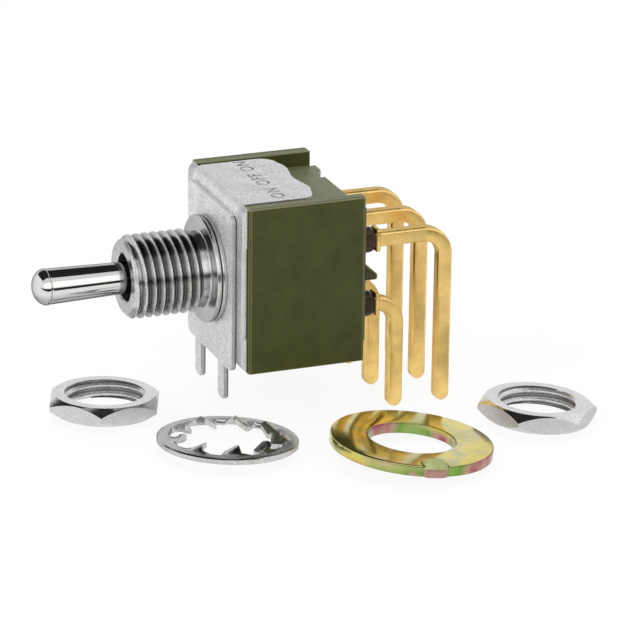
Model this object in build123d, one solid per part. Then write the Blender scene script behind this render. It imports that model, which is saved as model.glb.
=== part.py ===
from build123d import *
import math
import os

# Panel toggle switch: two poles, three lever positions, right-angle pins, with its loose mounting hardware.
# Millimetres. +Y runs from the lever to the rear, +X across the three pin columns, +Z up, away from the pin tips.
# The origin is on the bushing's axis, at the front of its collar, where a panel's face seats.

# Bushing
thread_diameter = 6.35
bushing_length = 6.05
mouth_chamfer = 0.42
mouth_bore_diameter = 3.6
mouth_bore_chamfer = 0.15
collar_diameter = 8.15
collar_thickness = 0.35
collar_groove_width = 0.1
collar_groove_diameter = 7.1
rear_flange_thickness = 0.35
spigot_diameter = 6.2
staked_diameter = 7.0
staked_thickness = 0.4
rear_bore_diameter = 5.3

# Lever
lever_reach = 7.06
tip_diameter = 2.78
lever_diameter = 2.36
ball_diameter = 4.2
ball_clearance = 0.05
pivot_depth = 2.5
inner_arm_diameter = 1.8
lever_travel = 12.5

# Stirrup frame and pin bracket
bracket_thickness = 0.4
bracket_width = 9.7
bracket_top = 5.5
bracket_bottom = 6.72
bracket_corner = 0.6
bracket_leg_offset = 2.54
bracket_leg_width = 1.33
bracket_leg_end = 9.53
bracket_leg_taper = 0.3
frame_thickness = 0.45
frame_width = 12.0
frame_height = 12.9
frame_bend_radius = 0.75
side_relief_depth = 0.12
side_relief_top = 3.35
side_relief_bottom = 3.75
tongue_width = 9.8
tongue_lobe_reach = 6.1
tongue_notch = 0.35
tongue_shoulder_drop = 0.25
tongue_lobe_slope = 0.35
tongue_corner = 1.3
spigot_clearance = 0.05

# Moulded case
case_height = 12.9
side_wall_depth = 9.2
side_wall = 1.05
side_pocket = 0.1
case_bevel = 0.15
tongue_undercut = 0.725
tongue_seat_length = 5.5
rear_block_extra = 0.45
middle_block_drop = 0.3
valley_offset = 2.45
valley_depth = 0.9
valley_slope_width = 1.7
cavity_depth = 7.95
cavity_height = 8.6
barrier_thickness = 1.0
barrier_depth = 2.1
rear_rib_reach = 0.95
rear_rib_top = 0.72
rear_rib_bottom = 0.5
rear_rib_nose = 0.44
rear_rib_round = 0.18

# Terminals, in two rows of three
column_pitch = 4.7
row_pitch = 5.08
pin_width = 1.0
pin_thickness = 1.15
pin_corner = 0.12
upper_leg_setback = 17.825
lower_leg_setback = 13.975
pin_bend_radius = 1.75
pin_tip_depth = 11.0
pin_tip_taper = 0.28
pin_tip_length = 0.4
shoulder_width = 1.25
shoulder_height = 1.8
shoulder_thickness = 0.35
slot_clearance = 0.03
seal_side_wall = 0.1
seal_end_wall = 0.425
seal_corner = 0.4
seal_reach = 0.85

# Contact mechanism inside the case
fulcrum_setback = 8.4
fulcrum_gap = 0.08
rocker_thickness = 0.3
rocker_width = 1.7
rocker_half_length = 4.95
rocker_wing_angle = 14.0
rocker_trough_radius = 6.0
rocker_ratio = 0.64
contact_gap = 0.12
plunger_diameter = 1.4
plunger_length = 2.35
plunger_flange_diameter = 1.7
plunger_flange = 0.3
plunger_clearance = 0.03
plunger_gap = 0.05
spring_wire = 0.16
spring_turns = 5
spring_steps_per_turn = 12
spring_length = 1.75
actuator_width = 2.7
actuator_depth = 4.0
actuator_end_wall = 0.9
actuator_side_wall = 0.35
actuator_shoulder = 0.8
actuator_rear_bevel = 0.5
actuator_end_width = 2.1
arm_engagement = 2.2
fit_clearance = 0.02

# Loose mounting hardware beside the switch. A place is x, y and a turn about the piece's own axis in
# degrees; a lean is the piece's tilt about X and then about Y in degrees.
nut_across_flats = 8.0
nut_thickness = 1.45
nut_face_diameter = 7.8
nut_chamfer_drop = 0.48
nut_bore_diameter = 5.8
left_nut_place = (-0.8, -7.3, -21.5)
left_nut_lean = (-2.0, -2.6)
right_nut_place = (11.55, 22.85, 17.8)
right_nut_lean = (-4.5, -0.9)
ring_outer_diameter = 12.15
ring_bore_diameter = 6.5
ring_thickness = 0.85
ring_place = (14.85, 11.25, -5.3)
ring_lean = (-6.1, -0.75)
tab_width = 2.0
tab_length = 1.45
tab_rise = 0.25
tab_round = 0.2
tab_overhang = 0.45
washer_outer_diameter = 10.55
washer_rim_width = 0.95
washer_thickness = 0.5
washer_dish = 0.1
washer_teeth = 9
tooth_reach_diameter = 6.5
tooth_width = 1.15
tooth_twist = 24.0
tooth_thickness = 0.35
tooth_root_overlap = 0.2
washer_place = (8.96, -0.96, -16.5)
washer_lean = (-3.45, -3.45)

# Levels and faces worked out from the sizes above
bushing_front = -bushing_length
pivot_y = bushing_front + pivot_depth
groove_front = collar_thickness
flange_front = groove_front + collar_groove_width
bracket_front = flange_front + rear_flange_thickness
frame_front = bracket_front + bracket_thickness
case_front = frame_front + frame_thickness
side_wall_rear = case_front + side_wall_depth
block_rear = side_wall_rear + rear_block_extra
cavity_rear = case_front + cavity_depth
seal_rear = block_rear + seal_reach
row_levels = {"upper": row_pitch / 2, "lower": -row_pitch / 2}
leg_setbacks = {"upper": upper_leg_setback, "lower": lower_leg_setback}
seal_width = pin_width + 2 * seal_side_wall
seal_height = pin_thickness + 2 * seal_end_wall
case_width = 2 * (column_pitch + pin_width / 2 + side_pocket + side_wall)
columns = {"left": -column_pitch, "middle": 0, "right": column_pitch}
floor_level = -pin_tip_depth
recess_half_width = case_width / 2 - side_wall
tongue_inner_level = frame_height / 2 - frame_thickness
frame_inner_radius = frame_bend_radius - frame_thickness


def turned(points):
    """A body turned about the bushing's axis from (radius, y) points."""
    outline = make_face(Polyline(*points, close=True))
    return revolve(outline, Axis.Y)


def block(x0, x1, y0, y1, z0, z1):
    """A plain block between two corners."""
    return Pos((x0 + x1) / 2, (y0 + y1) / 2, (z0 + z1) / 2) * Box(x1 - x0, y1 - y0, z1 - z0)


def across(outline, width):
    """An outline drawn as (y, z), extruded evenly to both sides of the middle along X."""
    return extrude(Plane.YZ * outline, width / 2, both=True)


def upright(outline, z0, z1):
    """A plan outline drawn as (x, y), extruded between two levels."""
    return extrude(Pos(0, 0, z0) * outline, z1 - z0)


# Bushing: one turned piece with the thread's blank, the collars and the staked spigot. The lever's ball
# runs against a 45 degree cone in front of it.

def bushing():
    thread_radius = thread_diameter / 2
    mouth_radius = mouth_bore_diameter / 2
    collar_radius = collar_diameter / 2
    socket_radius = ball_diameter / 2 + ball_clearance
    seat_reach = socket_radius * math.sqrt(2)
    staked_rear = case_front + staked_thickness
    outside = turned([
        (0, bushing_front),
        (thread_radius - mouth_chamfer, bushing_front),
        (thread_radius, bushing_front + mouth_chamfer),
        (thread_radius, 0),
        (collar_radius, 0),
        (collar_radius, groove_front),
        (collar_groove_diameter / 2, groove_front),
        (collar_groove_diameter / 2, flange_front),
        (collar_radius, flange_front),
        (collar_radius, bracket_front),
        (spigot_diameter / 2, bracket_front),
        (spigot_diameter / 2, case_front),
        (staked_diameter / 2, case_front),
        (staked_diameter / 2, staked_rear),
        (0, staked_rear),
    ])
    inside = turned([
        (0, bushing_front),
        (mouth_radius + mouth_bore_chamfer, bushing_front),
        (mouth_radius, bushing_front + mouth_bore_chamfer),
        (mouth_radius, pivot_y + mouth_radius - seat_reach),
        (socket_radius, pivot_y + socket_radius - seat_reach),
        (socket_radius, pivot_y),
        (rear_bore_diameter / 2, staked_rear),
        (0, staked_rear),
    ])
    return outside - inside


# Lever: turned in one piece with its ball and the arm that reaches into the case

def toggle_lever():
    tip_radius = tip_diameter / 2
    tip_centre = bushing_front - lever_reach + tip_radius
    stem_radius = lever_diameter / 2
    arm_radius = inner_arm_diameter / 2
    arm_end = actuator_front() + arm_engagement
    stem = turned([
        (0, tip_centre),
        (tip_radius, tip_centre),
        (stem_radius, bushing_front),
        (stem_radius, pivot_y),
        (arm_radius, pivot_y),
        (arm_radius, arm_end),
        (0, arm_end),
    ])
    tip = Pos(0, tip_centre, 0) * Sphere(tip_radius)
    ball = Pos(0, pivot_y, 0) * Sphere(ball_diameter / 2)
    return stem + tip + ball


# Pin bracket: a flat stamping behind the collars, with two legs for a circuit board

def pin_bracket():
    plate = Pos(0, (bracket_top - bracket_bottom) / 2) * RectangleRounded(
        bracket_width, bracket_top + bracket_bottom, bracket_corner)
    leg_length = bracket_leg_end - bracket_bottom + bracket_corner
    leg = Pos(0, -bracket_leg_end + leg_length / 2) * Rectangle(bracket_leg_width, leg_length)
    leg = chamfer(leg.vertices().group_by(Axis.Y)[0], bracket_leg_taper)
    outline = plate
    for side in (-1, 1):
        outline += Pos(side * bracket_leg_offset, 0) * leg
    outline -= Circle(spigot_diameter / 2 + spigot_clearance)
    return extrude(Plane.XZ.offset(-frame_front) * outline, bracket_thickness)


# Stirrup frame: a plate folded over the top and the bottom of the case

def tongue_plan():
    half = tongue_width / 2
    lobe = case_front + tongue_lobe_reach
    notch = lobe - tongue_notch
    end = lobe - tongue_shoulder_drop
    edge = Spline(
        (-half + tongue_corner, end), (-half / 2, lobe), (0, notch), (half / 2, lobe),
        (half - tongue_corner, end), tangents=((1, tongue_lobe_slope), (1, -tongue_lobe_slope)))
    right_corner = CenterArc((half - tongue_corner, end - tongue_corner), tongue_corner, 0, 90)
    left_corner = CenterArc((-half + tongue_corner, end - tongue_corner), tongue_corner, 90, 90)
    sides = Polyline(
        right_corner @ 0, (half, frame_front), (-half, frame_front), left_corner @ 1)
    return make_face([edge, right_corner, sides, left_corner])


def stirrup_frame():
    top = frame_height / 2
    tongue_end = case_front + tongue_lobe_reach + frame_thickness
    outer = Polyline(
        (tongue_end, top), (frame_front, top), (frame_front, -top), (tongue_end, -top), close=True)
    outer = fillet(make_face(outer).vertices().group_by(Axis.X)[0], frame_bend_radius)
    inner_top = top - frame_thickness
    inner = Polyline(
        (tongue_end, inner_top), (case_front, inner_top), (case_front, -inner_top),
        (tongue_end, -inner_top), close=True)
    inner = fillet(make_face(inner).vertices().group_by(Axis.X)[0], frame_inner_radius)
    strip = across(outer - inner, frame_width)
    front_zone = block(-frame_width / 2, frame_width / 2, frame_front, case_front, -top, top)
    frame = strip & (upright(tongue_plan(), -top, top) + front_zone)
    spigot_hole = Plane.XZ.offset(-case_front) * Circle(spigot_diameter / 2 + spigot_clearance)
    frame -= extrude(spigot_hole, frame_thickness)
    for side in (-1, 1):
        edge = side * frame_width / 2
        inner_edge = side * (frame_width / 2 - side_relief_depth)
        frame -= block(
            min(edge, inner_edge), max(edge, inner_edge), frame_front, case_front,
            -side_relief_bottom, side_relief_top)
    return frame


# Case: a moulded box, open towards the frame, with a waved rear block that carries the terminals

def rear_block_plan():
    """The rear block's plan: a boss behind each column of terminals, with valleys between them."""
    half = recess_half_width
    valley = block_rear - valley_depth
    middle = block_rear - middle_block_drop
    slope_start = valley_offset + valley_slope_width
    right = [(valley_offset, middle), (valley_offset, valley), (slope_start, block_rear), (half, block_rear)]
    left = [(-x, y) for x, y in reversed(right)]
    return make_face(Polyline((half, case_front), (-half, case_front), *left, *right, close=True))


def rear_rib_section():
    """A beak between the rows: flat underneath, sloping on top down to a rounded nose."""
    front = block_rear - valley_depth - rear_block_extra
    reach = block_rear + rear_rib_reach
    section = make_face(Polyline(
        (front, -rear_rib_bottom), (reach, -rear_rib_bottom), (reach, rear_rib_nose - rear_rib_bottom),
        (block_rear, rear_rib_top), (front, rear_rib_top), close=True))
    return fillet(section.vertices().group_by(Axis.X)[-1], rear_rib_round)


def terminal_slot(column, row):
    x = columns[column]
    z = row_levels[row]
    half_width = pin_width / 2 + slot_clearance
    half_height = pin_thickness / 2 + slot_clearance
    return block(x - half_width, x + half_width, cavity_rear, seal_rear, z - half_height, z + half_height)


def switch_case():
    half_width = case_width / 2
    half_height = case_height / 2
    inner = recess_half_width
    recess = tongue_inner_level - tongue_undercut
    walls = block(-half_width, half_width, case_front, side_wall_rear, -half_height, half_height)
    walls -= block(-inner, inner, case_front, side_wall_rear, -half_height, half_height)
    walls = chamfer(walls.edges().filter_by(Axis.Z).group_by(SortBy.LENGTH)[-1].filter_by(
        lambda edge: abs(edge.center().X) > inner + case_bevel), case_bevel)
    core = upright(rear_block_plan(), -recess, recess)
    seat_end = case_front + tongue_seat_length
    seat = block(-inner, inner, case_front, seat_end, -tongue_inner_level, tongue_inner_level)
    core += fillet(seat.edges().filter_by(Axis.X).group_by(Axis.Y)[0], frame_inner_radius)
    shell = walls + core + across(rear_rib_section(), 2 * inner)
    shell -= block(-inner, inner, case_front, cavity_rear, -cavity_height / 2, cavity_height / 2)
    barrier = barrier_thickness / 2
    shell += block(-inner, inner, cavity_rear - barrier_depth, cavity_rear, -barrier, barrier)
    for row in row_levels:
        for column in columns:
            shell -= terminal_slot(column, row)
    return shell


# Terminals: one bent strip each, with a contact head inside the case and a shoulder outside its seal

def rocker_rise(x):
    """How far the rocker's underside stands in front of its fulcrum, at a distance along the wing."""
    slope = math.tan(math.radians(rocker_wing_angle))
    trough_offset = rocker_trough_radius * (1 / math.cos(math.radians(rocker_wing_angle)) - 1)
    return abs(x) * slope - trough_offset


def outer_head_front():
    """The contact face of an outer terminal, just behind the rocker's end at full tilt."""
    tilt = math.radians(lever_travel * rocker_ratio)
    rise = rocker_rise(column_pitch)
    end = fulcrum_setback + column_pitch * math.sin(tilt) - rise * math.cos(tilt)
    return end + contact_gap


def bevelled_rectangle(width, height, bevel):
    """A rectangle about the origin with its four corners bevelled."""
    outline = Rectangle(width, height)
    return chamfer(outline.vertices(), bevel)


def terminal(column, row):
    x = columns[column]
    z = row_levels[row]
    setback = leg_setbacks[row]
    head = fulcrum_setback + fulcrum_gap if column == "middle" else outer_head_front()
    shank_end = floor_level + pin_tip_length
    path = FilletPolyline(
        (0, head, z), (0, setback, z), (0, setback, shank_end), radius=pin_bend_radius)
    outline = bevelled_rectangle(pin_width, pin_thickness, pin_corner)
    point = bevelled_rectangle(pin_width - 2 * pin_tip_taper, pin_thickness - 2 * pin_tip_taper, pin_corner)
    strip = sweep(Plane(origin=path @ 0, x_dir=(1, 0, 0), z_dir=path % 0) * outline, path=path)
    end = Plane(origin=path @ 1, x_dir=(1, 0, 0), z_dir=path % 1)
    strip += loft([end * outline, end.offset(pin_tip_length) * point])
    shoulder = Pos(0, seal_rear + shoulder_thickness / 2, z) * Rot(90, 0, 0) * extrude(
        bevelled_rectangle(shoulder_width, shoulder_height, pin_corner), shoulder_thickness / 2, both=True)
    return Pos(x, 0, 0) * (strip + shoulder)


def terminal_seal(column, row):
    x = columns[column]
    z = row_levels[row]
    front = block_rear - (middle_block_drop if column == "middle" else 0)
    length = seal_rear - front
    bead = extrude(bevelled_rectangle(seal_width, seal_height, seal_corner), length / 2, both=True)
    bead = Pos(x, front + length / 2, z) * Rot(90, 0, 0) * bead
    return bead - terminal_slot(column, row)


# Contact mechanism: a rocker for each pole, pressed by a sprung plunger that the lever carries

def rocker(row):
    half = rocker_half_length
    depth = rocker_thickness / math.cos(math.radians(rocker_wing_angle))
    ends = fulcrum_setback - rocker_rise(half)
    middle = fulcrum_setback - rocker_rise(0)
    section = make_face(Polyline(
        (-half, ends), (0, middle), (half, ends), (half, ends - depth), (0, middle - depth),
        (-half, ends - depth), close=True))
    trough = section.vertices().sort_by(lambda vertex: abs(vertex.X))[:2].sort_by(Axis.Y)
    section = fillet(trough[1], rocker_trough_radius)
    inside = section.vertices().filter_by(lambda vertex: abs(vertex.X) < fit_clearance)
    section = fillet(inside, rocker_trough_radius - rocker_thickness)
    level = row_levels[row]
    return upright(section, level - rocker_width / 2, level + rocker_width / 2)


def plunger_tip():
    return fulcrum_setback - rocker_thickness - plunger_gap


def plunger_back():
    return plunger_tip() - plunger_length


def actuator_rear():
    return plunger_back() + plunger_flange + actuator_end_wall


def actuator_front():
    return actuator_rear() - actuator_depth


def contact_plunger(row):
    radius = plunger_diameter / 2
    back = plunger_back()
    shank_end = plunger_tip() - radius
    pin = turned([
        (0, back),
        (plunger_flange_diameter / 2, back),
        (plunger_flange_diameter / 2, back + plunger_flange),
        (radius, back + plunger_flange),
        (radius, shank_end),
        (0, shank_end),
    ])
    nose = Pos(0, shank_end, 0) * Sphere(radius)
    return Pos(0, 0, row_levels[row]) * (pin + nose)


def plunger_spring(row):
    mean_radius = (plunger_flange_diameter - spring_wire) / 2
    front = plunger_back() - spring_length + spring_wire
    rise = spring_length - 2 * spring_wire
    steps = spring_turns * spring_steps_per_turn
    points = []
    for step in range(steps + 1):
        angle = 2 * math.pi * step / spring_steps_per_turn
        level = front + rise * step / steps
        points.append((mean_radius * math.cos(angle), level, mean_radius * math.sin(angle)))
    coil = Polyline(*points)
    section = Plane(origin=coil @ 0, z_dir=coil % 0) * RegularPolygon(spring_wire / 2, 6)
    spring = sweep(section, path=coil, transition=Transition.RIGHT)
    return Pos(0, 0, row_levels[row]) * spring


def actuator():
    """The moulded carrier on the lever's inner arm, with a stepped bore for each plunger."""
    front = actuator_front()
    rear = actuator_rear()
    bore_radius = plunger_flange_diameter / 2 + plunger_clearance
    half_height = row_pitch / 2 + bore_radius + actuator_side_wall
    half_width = actuator_width / 2
    half_end = actuator_end_width / 2
    right = [
        (half_end, front), (half_width, front + actuator_shoulder),
        (half_width, rear - actuator_rear_bevel), (half_end, rear)]
    left = [(-x, y) for x, y in reversed(right)]
    profile = make_face(Polyline(*right, *left, close=True))
    body = upright(profile, -half_height, half_height)
    spring_front = plunger_back() - spring_length
    for level in row_levels.values():
        bore = turned([
            (0, spring_front),
            (bore_radius, spring_front),
            (bore_radius, plunger_back() + plunger_flange + fit_clearance),
            (plunger_diameter / 2 + plunger_clearance, plunger_back() + plunger_flange + fit_clearance),
            (plunger_diameter / 2 + plunger_clearance, rear),
            (0, rear),
        ])
        body -= Pos(0, 0, level) * bore
    arm_hole_radius = inner_arm_diameter / 2 + fit_clearance
    arm_hole_end = front + arm_engagement + fit_clearance
    body -= turned([(0, front), (arm_hole_radius, front), (arm_hole_radius, arm_hole_end), (0, arm_hole_end)])
    return body


# Loose mounting hardware

def laid(piece, place, lean):
    """A piece modelled about its own vertical axis, leaning a little, its lowest point level with the pin tips."""
    x, y, turn = place
    about_x, about_y = lean
    leaning = Rot(0, about_y, 0) * Rot(about_x, 0, 0) * Rot(0, 0, turn) * piece
    return Pos(x, y, floor_level - leaning.bounding_box().min.Z) * leaning


def hex_nut():
    corner_radius = nut_across_flats / math.sqrt(3)
    prism = extrude(RegularPolygon(corner_radius, 6), nut_thickness)
    face_radius = nut_face_diameter / 2
    domed = revolve(make_face(Plane.XZ * Polyline(
        (0, 0), (face_radius, 0), (corner_radius, nut_chamfer_drop),
        (corner_radius, nut_thickness - nut_chamfer_drop), (face_radius, nut_thickness),
        (0, nut_thickness), close=True)), Axis.Z)
    return (prism & domed) - extrude(Circle(nut_bore_diameter / 2), nut_thickness)


def locking_ring():
    ring = extrude(Circle(ring_outer_diameter / 2) - Circle(ring_bore_diameter / 2), ring_thickness)
    tab_end = ring_outer_diameter / 2 + tab_overhang
    tab = block(tab_end - tab_length, tab_end, -tab_width / 2, tab_width / 2, 0, ring_thickness + tab_rise)
    tab = fillet(tab.edges().filter_by(Axis.X).group_by(Axis.Z)[-1], tab_round)
    return ring + tab


def lock_washer():
    outer = washer_outer_diameter / 2
    inner = outer - washer_rim_width
    rim = revolve(make_face(Plane.XZ * Polyline(
        (inner, washer_dish), (outer, 0), (outer, washer_thickness - washer_dish),
        (inner, washer_thickness), close=True)), Axis.Z)
    tip = tooth_reach_diameter / 2
    root = inner + tooth_root_overlap
    blade = Pos((tip + root) / 2, 0, 0) * Box(root - tip, tooth_width, tooth_thickness)
    twist = math.radians(tooth_twist)
    lift = (tooth_width * math.sin(twist) + tooth_thickness * math.cos(twist)) / 2
    blade = Pos(0, 0, lift) * Rot(tooth_twist, 0, 0) * blade
    for index in range(washer_teeth):
        rim += Rot(0, 0, index * 360 / washer_teeth) * blade
    return rim


def all_parts():
    parts = {
        "bushing": bushing(),
        "toggle_lever": toggle_lever(),
        "pin_bracket": pin_bracket(),
        "stirrup_frame": stirrup_frame(),
        "switch_case": switch_case(),
        "actuator": actuator(),
        "hex_nut_left": laid(hex_nut(), left_nut_place, left_nut_lean),
        "hex_nut_right": laid(hex_nut(), right_nut_place, right_nut_lean),
        "locking_ring": laid(locking_ring(), ring_place, ring_lean),
        "lock_washer": laid(lock_washer(), washer_place, washer_lean),
    }
    for row in row_levels:
        parts[f"contact_rocker_{row}"] = rocker(row)
        parts[f"contact_plunger_{row}"] = contact_plunger(row)
        parts[f"plunger_spring_{row}"] = plunger_spring(row)
        for column in columns:
            parts[f"terminal_{row}_{column}"] = terminal(column, row)
            parts[f"terminal_seal_{row}_{column}"] = terminal_seal(column, row)
    return parts


def main():
    os.makedirs("parts", exist_ok=True)
    for name, shape in all_parts().items():
        export_step(shape, f"parts/{name}.step")


main()
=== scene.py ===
import math

import bmesh
import bpy
from mathutils import Matrix, Vector

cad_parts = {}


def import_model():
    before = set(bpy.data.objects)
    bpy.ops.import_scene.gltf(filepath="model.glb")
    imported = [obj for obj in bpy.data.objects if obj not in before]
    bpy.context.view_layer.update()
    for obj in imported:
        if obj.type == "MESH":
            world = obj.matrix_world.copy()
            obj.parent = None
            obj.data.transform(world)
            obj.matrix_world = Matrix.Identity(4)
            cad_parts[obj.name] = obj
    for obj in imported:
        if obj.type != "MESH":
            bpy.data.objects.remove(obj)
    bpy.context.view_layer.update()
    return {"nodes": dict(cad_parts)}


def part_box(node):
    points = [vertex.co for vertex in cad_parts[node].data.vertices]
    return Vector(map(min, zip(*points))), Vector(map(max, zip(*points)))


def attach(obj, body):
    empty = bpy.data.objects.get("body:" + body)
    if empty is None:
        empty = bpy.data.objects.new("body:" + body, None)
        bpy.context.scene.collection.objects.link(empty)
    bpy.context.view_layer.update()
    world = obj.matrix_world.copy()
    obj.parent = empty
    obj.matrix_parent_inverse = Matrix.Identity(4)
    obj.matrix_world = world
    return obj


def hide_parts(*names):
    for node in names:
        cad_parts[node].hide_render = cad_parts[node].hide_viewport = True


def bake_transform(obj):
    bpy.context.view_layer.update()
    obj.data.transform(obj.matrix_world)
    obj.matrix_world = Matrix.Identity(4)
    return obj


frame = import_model()
scene = bpy.context.scene
MM = 0.001

# Sizes shared by several pieces, in millimetres
floor_level = -11.0
thread_radius = 3.175
thread_pitch = 0.68
bushing_front = -6.05
pivot_y = -3.55
neck_start = -0.62
case_front = 1.65
seal_rear = 12.15
row_levels = {"upper": 2.54, "lower": -2.54}
leg_setbacks = {"upper": 17.825, "lower": 13.975}
columns = {"left": -4.7, "middle": 0.0, "right": 4.7}


# Shader helpers

def new_material(name, **values):
    """A Principled material with the given socket values."""
    material = bpy.data.materials.new(name)
    material.use_nodes = True
    tree = material.node_tree
    shader = tree.nodes["Principled BSDF"]
    for key, value in values.items():
        shader.inputs[key.replace("_", " ")].default_value = value
    return material, tree, shader


def add(tree, kind, inputs=None, **settings):
    """A shader node: settings are its properties, inputs are values or the sockets that feed it."""
    item = tree.nodes.new("ShaderNode" + kind)
    for key, value in settings.items():
        setattr(item, key, value)
    for key, value in (inputs or {}).items():
        if isinstance(value, bpy.types.NodeSocket):
            tree.links.new(value, item.inputs[key])
        else:
            item.inputs[key].default_value = value
    return item


def maths(tree, operation, *values):
    """The result of a Math node on values or sockets."""
    return add(tree, "Math", dict(enumerate(values)), operation=operation).outputs[0]


def millimetres(tree, stretch=(1, 1, 1)):
    """The piece's own coordinates in millimetres, stretched along some axes."""
    place = add(tree, "TexCoord").outputs["Object"]
    scale = tuple(value / MM for value in stretch)
    return add(tree, "Mapping", {"Vector": place, "Scale": scale}).outputs["Vector"]


def coordinate(tree, axis):
    """One of the piece's own coordinates in millimetres."""
    return add(tree, "SeparateXYZ", {"Vector": millimetres(tree)}).outputs[axis]


def noise(tree, vector, scale, detail=3.0, roughness=0.5):
    inputs = {"Vector": vector, "Scale": scale, "Detail": detail, "Roughness": roughness}
    return add(tree, "TexNoise", inputs).outputs["Fac"]


def ramp(tree, factor, stops):
    """A colour ramp from (position, colour) stops; a grey stop may be one number."""
    item = add(tree, "ValToRGB", {"Fac": factor})
    elements = item.color_ramp.elements
    while len(elements) < len(stops):
        elements.new(0.5)
    for element, (position, colour) in zip(elements, stops):
        element.position = position
        element.color = (*colour, 1) if isinstance(colour, tuple) else (colour, colour, colour, 1)
    return item.outputs["Color"]


def fade(tree, value, start, end, first=0.0, last=1.0):
    """Goes from first to last as the value goes from start to end, and stays there beyond."""
    inputs = {"Value": value, "From Min": start, "From Max": end, "To Min": first, "To Max": last}
    return add(tree, "MapRange", inputs).outputs["Result"]


def spread(tree, factor, low, high):
    """A noise's middle range stretched to the values low to high."""
    usual_least, usual_greatest = 0.3, 0.7
    return fade(tree, factor, usual_least, usual_greatest, low, high)


def blend_colour(tree, share, under, over):
    """One colour fading into another, which may be a socket or a plain colour."""
    factor, first, second, result = 0, 6, 7, 2
    mix = add(tree, "Mix", data_type="RGBA")
    tree.links.new(share, mix.inputs[factor])
    tree.links.new(under, mix.inputs[first])
    if isinstance(over, bpy.types.NodeSocket):
        tree.links.new(over, mix.inputs[second])
    else:
        mix.inputs[second].default_value = (*over, 1)
    return mix.outputs[result]


def bump(tree, shader, pattern, distance):
    item = add(tree, "Bump", {"Height": pattern, "Distance": distance * MM, "Strength": 1.0})
    tree.links.new(item.outputs["Normal"], shader.inputs["Normal"])


def with_share(tree, pattern, other, share):
    """A noise with a share of another one added, its middle value left where it was."""
    return maths(tree, "SUBTRACT", maths(tree, "MULTIPLY_ADD", other, share, pattern), share / 2)


def metal(name, colour, gloss, grain=(1, 1, 1), scale=6.0, relief=0.002, mottle=0.08, metallic=1.0,
          speckle=0.0, rim=1.0):
    """A metal with mottled brightness, uneven gloss and a fine grain that may run along one axis.

    Gloss is its least and greatest roughness, relief the grain's height, speckle the strength of small dots,
    and rim the brightness of what it mirrors at grazing angles.
    """
    cloud_scale, dot_scale = 0.9, 8.0
    material, tree, shader = new_material(name, Metallic=metallic, Specular_Tint=(rim, rim, rim, 1))
    place = millimetres(tree)
    cloud = noise(tree, place, cloud_scale, 4.0)
    fine = noise(tree, millimetres(tree, grain), scale, 5.0, 0.6)
    dark = tuple(value * (1 - mottle) for value in colour)
    if speckle:
        cloud_share = 0.3
        dots = spread(tree, noise(tree, place, dot_scale, 2.0, 0.7), 0.5 - speckle, 0.5 + speckle)
        cloud = with_share(tree, dots, cloud, cloud_share)
    tint = ramp(tree, cloud, [(0.35, dark), (0.65, colour)])
    tree.links.new(tint, shader.inputs["Base Color"])
    tree.links.new(spread(tree, fine, *gloss), shader.inputs["Roughness"])
    bump(tree, shader, fine, relief)
    return material


def moulding(name, colour, pale, gloss, relief=0.004):
    """A moulded plastic with a faint flow pattern, small patches and a fine matt grain."""
    flow_scale, patch_scale, grain_scale = 0.5, 8.0, 14.0
    patch_share = 0.6
    material, tree, shader = new_material(name, Specular_IOR_Level=0.3)
    place = millimetres(tree)
    flow = noise(tree, place, flow_scale, 8.0, 0.7)
    patches = with_share(tree, flow, noise(tree, place, patch_scale), patch_share)
    tint = ramp(tree, patches, [(0.32, colour), (0.68, pale)])
    tree.links.new(tint, shader.inputs["Base Color"])
    tree.links.new(spread(tree, flow, *gloss), shader.inputs["Roughness"])
    bump(tree, shader, noise(tree, place, grain_scale), relief)
    return material


# Materials

mirror_nickel = metal("mirror_nickel", (0.74, 0.74, 0.725), (0.05, 0.09), grain=(1, 0.2, 1), scale=5.0,
                      relief=0.0006, mottle=0.03, rim=0.3)
turned_nickel = metal("turned_nickel", (0.70, 0.70, 0.69), (0.14, 0.28), grain=(0.5, 6, 0.5), scale=3.0,
                      relief=0.003, mottle=0.24, speckle=0.10, rim=0.5)
worn_nickel = metal("worn_nickel", (0.78, 0.78, 0.77), (0.20, 0.36), grain=(0.5, 4, 0.5), scale=4.0,
                    relief=0.005, mottle=0.40, metallic=0.95, speckle=0.2, rim=0.6)
# Two copies of one tin: the second takes painted shade along the frame's front border.
satin_tin, shaded_frame_tin = (
    metal(name, (0.89, 0.89, 0.89), (0.46, 0.66), scale=8.0, relief=0.010, mottle=0.36, metallic=0.7,
          speckle=0.24)
    for name in ("satin_tin", "shaded_frame_tin"))
# The bracket's cut sides; painted shade is added to them towards the frame.
bracket_edge = metal("bracket_edge", (0.62, 0.62, 0.62), (0.42, 0.60), scale=8.0, relief=0.010, mottle=0.30,
                     metallic=0.75, speckle=0.2)
# The frame's side strips; a painted shade line is added at their rear.
frame_edge = metal("frame_edge", (0.92, 0.92, 0.92), (0.42, 0.60), scale=8.0, relief=0.010, mottle=0.30,
                   metallic=0.7, speckle=0.2)
# A darker tin as painted shade, for the tongue's edge walls and the stamped letters' cuts.
shaded_tongue_tin = metal("shaded_tongue_tin", (0.58, 0.58, 0.57), (0.30, 0.45), scale=9.0, relief=0.005, mottle=0.3,
                    metallic=0.8, speckle=0.2)
nut_plate = metal("nut_plate", (0.82, 0.82, 0.815), (0.12, 0.21), scale=5.0, relief=0.003, mottle=0.24,
                  speckle=0.24, rim=0.8)
nut_bore = metal("nut_bore", (0.90, 0.90, 0.895), (0.22, 0.38), grain=(1, 1, 6), scale=4.0, relief=0.004,
                 mottle=0.50, metallic=0.85, speckle=0.12)
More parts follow.
